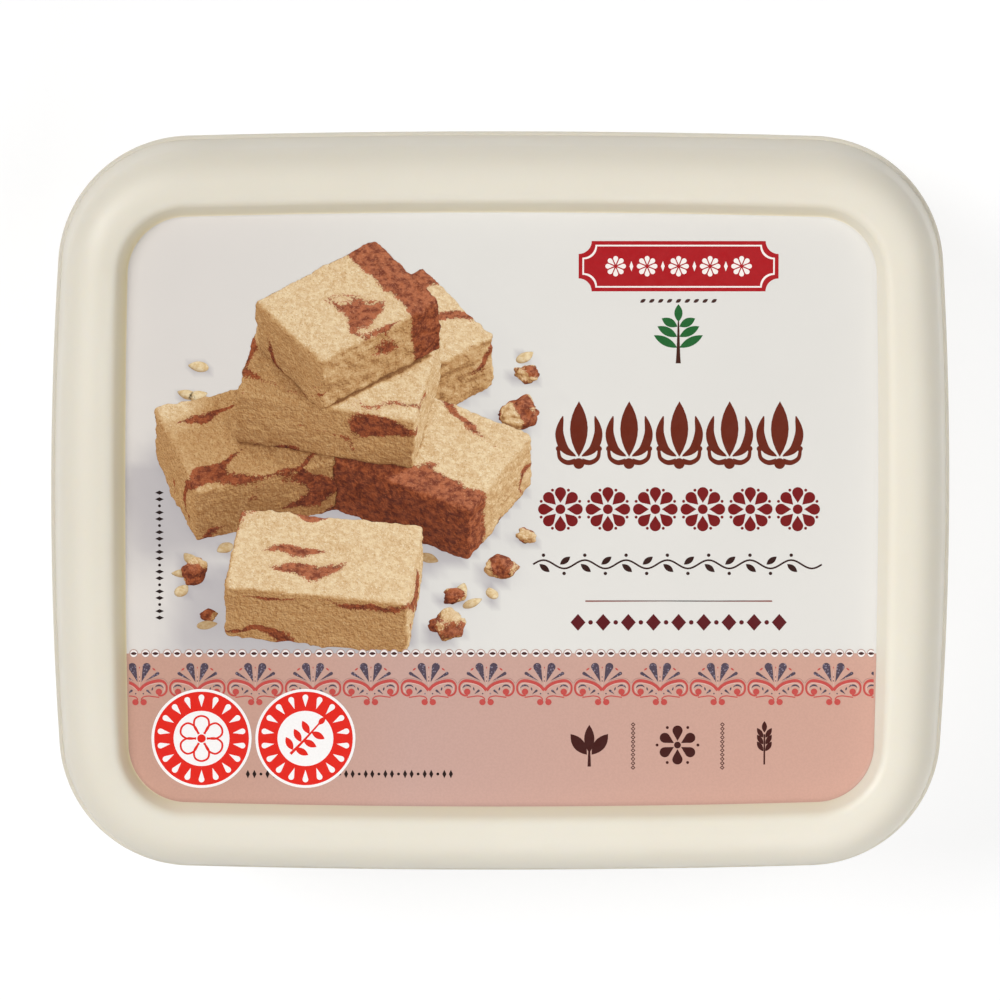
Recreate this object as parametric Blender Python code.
"""A shut rectangular food tub: tapered tub, capping lid with a rounded rim, and a film label.

Sizes are in millimetres until a mesh is made, and meshes are in metres. X runs along the tub's
long side, Y across it and Z up, with the origin at the centre of the base, on the table.

Every piece is a stack of level rings, and every ring is the lid's outline moved inwards. Over the
rim's inner slope the outline turns into the panel's, whose short sides are straighter. A section
is therefore a list of (inset, height) pairs: how far in from the lid's widest line, and how high.
Angles in a section are in degrees: 0 faces outwards, 90 up, 180 to the middle and -90 down.
"""

import math

import bmesh
import bpy
from mathutils import Vector

# The lid's widest outline: a rectangle whose sides bow out a little, with round corners. The
# sunken panel's short sides bow less.
LID_LENGTH = 132.0
LID_WIDTH = 109.6
LONG_SIDE_BOW_RADIUS = 1630.0
SHORT_SIDE_BOW_RADIUS = 564.0
PANEL_SHORT_SIDE_BOW_RADIUS = 1500.0
CORNER_RADIUS = 19.5

# Heights above the table.
WALL_TOP = 27.2
LID_BOTTOM = 29.0
LID_TOP = 40.0
PANEL_HEIGHT = 37.4

# The lid's wall, the bead along its lower edge, and its skirt.
LID_WALL = 1.2
BEAD_RADIUS = 0.55
BEAD_END = 60.0
SKIRT_DRAFT = math.radians(7.5)

# The lid's rounded rim, as two quarter ellipses of (inwards, upwards) radii.
SHOULDER_INSET = 7.2
SHOULDER_RADII = (6.0, 5.0)
SHOULDER_START = 12.0
RIM_INNER_INSET = 7.7
RIM_INNER_RADII = (2.2, 1.7)
RIM_INNER_END = 160.0

# The sunken panel, with a shallow pocket in which the film label lies flush.
PANEL_INSET = 10.8
PANEL_WALL_SLOPE = 65.0
PANEL_FILLET = 0.6
POCKET_INSET = 10.85
POCKET_DEPTH = 0.6
LABEL_INSET = 11.15
LABEL_THICKNESS = 0.3

# The tub: a ledge just under the lid, tapered walls and a recessed base. Its closed top fills
# the lid but for a clearance.
CLEARANCE = 0.3
LEDGE_INSET = 0.35
LEDGE_RADIUS = 0.6
LEDGE_START = -60.0
WALL_TOP_INSET = 2.0
WALL_DRAFT = 6.0
BASE_CORNER_RADIUS = 4.0
FOOT_WIDTH = 3.4
BASE_RECESS = 0.8

# How finely curves are divided.
CORNER_STEPS = 12
HALF_SIDE_STEPS = 2
PANEL_SIDE_STEPS = 1
SHOULDER_STEPS = 9
CHANNEL_STEPS = 4
RIM_INNER_STEPS = 5
RIM_UNDERSIDE_STEPS = 2
FILLET_STEPS = 3
BEAD_STEPS = 5
BASE_CORNER_STEPS = 5

METRES = 0.001
SMOOTH_ANGLE = math.radians(35.0)

CREAM_LID = (0.83, 0.78, 0.66, 1.0)
CREAM_TUB = (0.80, 0.74, 0.61, 1.0)
LABEL_WHITE = (0.80, 0.77, 0.73, 1.0)


class Outline:
    """The lid's length and width with bowed sides and round corners."""

    def __init__(self, short_side_bow_radius):
        self.short_radius = short_side_bow_radius
        self.short_centre_x = LID_LENGTH / 2 - self.short_radius
        self.long_centre_y = LID_WIDTH / 2 - LONG_SIDE_BOW_RADIUS
        self.corner_x, self.corner_y = self.corner_centre()
        self.short_side_turn = math.asin(self.corner_y / (self.short_radius - CORNER_RADIUS))
        self.long_side_turn = math.asin(self.corner_x / (LONG_SIDE_BOW_RADIUS - CORNER_RADIUS))

    def corner_centre(self):
        """Centre, with x and y above 0, of the corner arc that touches both side arcs."""
        from_short = self.short_radius - CORNER_RADIUS
        from_long = LONG_SIDE_BOW_RADIUS - CORNER_RADIUS
        apart = math.hypot(self.short_centre_x, self.long_centre_y)
        along = (from_short**2 - from_long**2 + apart**2) / (2 * apart)
        across = math.sqrt(from_short**2 - along**2)
        towards_x = -self.short_centre_x / apart
        towards_y = self.long_centre_y / apart
        x = self.short_centre_x + along * towards_x - across * towards_y
        y = along * towards_y + across * towards_x
        return x, y

    def point(self, direction, inset):
        """The point that faces a direction, on the outline moved inwards by an inset."""
        cosine = math.cos(direction)
        sine = math.sin(direction)
        if abs(sine) < math.sin(self.short_side_turn):
            centre_x = math.copysign(self.short_centre_x, -cosine)
            centre_y = 0.0
            radius = self.short_radius
        elif abs(cosine) < math.sin(self.long_side_turn):
            centre_x = 0.0
            centre_y = math.copysign(self.long_centre_y, -sine)
            radius = LONG_SIDE_BOW_RADIUS
        else:
            centre_x = math.copysign(self.corner_x, cosine)
            centre_y = math.copysign(self.corner_y, sine)
            radius = CORNER_RADIUS
        return Vector((centre_x + (radius - inset) * cosine, centre_y + (radius - inset) * sine))


RIM_OUTLINE = Outline(SHORT_SIDE_BOW_RADIUS)
PANEL_OUTLINE = Outline(PANEL_SHORT_SIDE_BOW_RADIUS)


def outline_directions():
    """Directions in which the outline faces, counter-clockwise from +X."""
    panel_turn = PANEL_OUTLINE.short_side_turn
    rim_turn = RIM_OUTLINE.short_side_turn
    long_turn = math.pi / 2 - RIM_OUTLINE.long_side_turn
    stretches = (
        (0.0, panel_turn, PANEL_SIDE_STEPS),
        (panel_turn, rim_turn, HALF_SIDE_STEPS),
        (rim_turn, long_turn, CORNER_STEPS),
        (long_turn, math.pi / 2, HALF_SIDE_STEPS),
    )
    quarter = [
        start + (end - start) * step / steps
        for start, end, steps in stretches
        for step in range(steps)
    ]
    half = quarter + [math.pi / 2] + [math.pi - angle for angle in reversed(quarter[1:])]
    return half + [angle + math.pi for angle in half]


DIRECTIONS = outline_directions()


def outline_point(direction, inset):
    """The point that faces a direction, on the rim's outline or, further in, on the panel's."""
    share = (inset - SHOULDER_INSET) / (PANEL_INSET - SHOULDER_INSET)
    share = min(max(share, 0.0), 1.0)
    rim_point = RIM_OUTLINE.point(direction, inset)
    return rim_point.lerp(PANEL_OUTLINE.point(direction, inset), share)


def arc(centre_inset, centre_height, radii, start, end, steps):
    """Section points along an ellipse of (inwards, upwards) radii, from one angle to another."""
    inwards, upwards = radii
    angles = [math.radians(start + (end - start) * step / steps) for step in range(steps + 1)]
    return [
        (centre_inset - inwards * math.cos(angle), centre_height + upwards * math.sin(angle))
        for angle in angles
    ]


def round_arc(centre_inset, centre_height, radius, start, end, steps):
    """Section points along a circle."""
    return arc(centre_inset, centre_height, (radius, radius), start, end, steps)


def rim_arcs(wall, shoulder_steps, inner_steps):
    """The rim's outer and inner curves, moved into the plastic by a wall."""
    shoulder_radii = [radius - wall for radius in SHOULDER_RADII]
    inner_radii = [radius - wall for radius in RIM_INNER_RADII]
    shoulder_height = LID_TOP - SHOULDER_RADII[1]
    inner_height = LID_TOP - RIM_INNER_RADII[1]
    shoulder = arc(SHOULDER_INSET, shoulder_height, shoulder_radii, SHOULDER_START, 90, shoulder_steps)
    inner = arc(RIM_INNER_INSET, inner_height, inner_radii, 90, RIM_INNER_END, inner_steps)
    return shoulder, inner


def skirt_foot(shoulder_start, height):
    """The skirt's section point at a height, straight down its draft from the shoulder."""
    inset, top = shoulder_start
    return inset - (top - height) * math.tan(SKIRT_DRAFT), height


def lid_outside():
    """Section of the lid's visible side, from the bead at its lower edge to the panel's pocket."""
    bead = round_arc(BEAD_RADIUS, LID_BOTTOM + BEAD_RADIUS, BEAD_RADIUS, -90, BEAD_END, BEAD_STEPS)
    shoulder, inner = rim_arcs(0.0, SHOULDER_STEPS, RIM_INNER_STEPS)
    skirt = [skirt_foot(shoulder[0], LID_BOTTOM + 2 * BEAD_RADIUS)]
    fillet = round_arc(
        PANEL_INSET, PANEL_HEIGHT + PANEL_FILLET, PANEL_FILLET, PANEL_WALL_SLOPE - 90, -90, FILLET_STEPS
    )
    pocket = [(POCKET_INSET, PANEL_HEIGHT), (POCKET_INSET, PANEL_HEIGHT - POCKET_DEPTH)]
    return bead + skirt + shoulder + inner + fillet + pocket


def lid_inside(allowance):
    """Section of the lid's underside, from its lower edge in, moved outwards by an allowance."""
    shoulder, inner = rim_arcs(LID_WALL + allowance, CHANNEL_STEPS, RIM_UNDERSIDE_STEPS)
    panel_underside = PANEL_HEIGHT - POCKET_DEPTH - LID_WALL - allowance
    wall_inset, wall_top = inner[-1]
    wall_run = (wall_top - panel_underside) / math.tan(math.radians(PANEL_WALL_SLOPE))
    panel = [(wall_inset + wall_run, panel_underside)]
    return [skirt_foot(shoulder[0], LID_BOTTOM)] + shoulder + inner + panel


def tub_outside():
    """Section of the tub from its recessed base, round the foot and up the wall, over the ledge."""
    taper = (WALL_TOP - BASE_CORNER_RADIUS) * math.tan(math.radians(WALL_DRAFT))
    foot_inset = WALL_TOP_INSET + taper + BASE_CORNER_RADIUS
    recess_inset = foot_inset + FOOT_WIDTH
    base = [(recess_inset + BASE_RECESS, BASE_RECESS), (recess_inset, 0.0)]
    corner = round_arc(
        foot_inset, BASE_CORNER_RADIUS, BASE_CORNER_RADIUS, -90, -WALL_DRAFT, BASE_CORNER_STEPS
    )
    ledge_height = LID_BOTTOM - CLEARANCE - LEDGE_RADIUS
    ledge = round_arc(
        LEDGE_INSET + LEDGE_RADIUS, ledge_height, LEDGE_RADIUS, LEDGE_START, 90, BEAD_STEPS
    )
    return base + corner + [(WALL_TOP_INSET, WALL_TOP)] + ledge


def tub_closed_top():
    """Section of the tub's closed top inside the lid."""
    neck, *rest = lid_inside(CLEARANCE)
    return [(neck[0], LID_BOTTOM - CLEARANCE)] + rest


def loft(name, section, material):
    """A closed solid through one ring for each point of a section, capped at both ends."""
    mesh = bmesh.new()
    rings = []
    for inset, height in section:
        points = [outline_point(direction, inset) for direction in DIRECTIONS]
        rings.append([mesh.verts.new((x * METRES, y * METRES, height * METRES)) for x, y in points])
    count = len(DIRECTIONS)
    for ring, next_ring in zip(rings, rings[1:]):
        for i in range(count):
            j = (i + 1) % count
            mesh.faces.new((ring[i], ring[j], next_ring[j], next_ring[i]))
    mesh.faces.new(rings[0])
    mesh.faces.new(rings[-1])
    bmesh.ops.recalc_face_normals(mesh, faces=mesh.faces)
    data = bpy.data.meshes.new(name)
    mesh.to_mesh(data)
    mesh.free()
    data.shade_smooth()
    data.set_sharp_from_angle(angle=SMOOTH_ANGLE)
    data.materials.append(material)
    return bpy.data.objects.new(name, data)


def plastic(name, colour, roughness):
    """A plain moulded plastic."""
    material = bpy.data.materials.new(name)
    material.use_nodes = True
    shader = material.node_tree.nodes["Principled BSDF"]
    shader.inputs["Base Color"].default_value = colour
    shader.inputs["Roughness"].default_value = roughness
    shader.inputs["Metallic"].default_value = 0.0
    return material


def make_tub():
    """The tapered tub, solid up to its closed top under the lid."""
    return loft("tub", tub_outside() + tub_closed_top(), plastic("tub_plastic", CREAM_TUB, 0.45))


def make_lid():
    """The lid: a cap over the tub's rim, with a rounded rim round a sunken panel."""
    section = list(reversed(lid_inside(0.0))) + lid_outside()
    return loft("lid", section, plastic("lid_plastic", CREAM_LID, 0.4))


def make_label():
    """The film label in the panel's pocket."""
    section = [(LABEL_INSET, PANEL_HEIGHT - LABEL_THICKNESS), (LABEL_INSET, PANEL_HEIGHT)]
    return loft("label", section, plastic("label_film", LABEL_WHITE, 0.3))


def main():
    for stale in list(bpy.data.objects):
        bpy.data.objects.remove(stale, do_unlink=True)
    collection = bpy.data.collections.new("food_tub")
    bpy.context.scene.collection.children.link(collection)
    for piece in (make_tub(), make_lid(), make_label()):
        collection.objects.link(piece)


main()
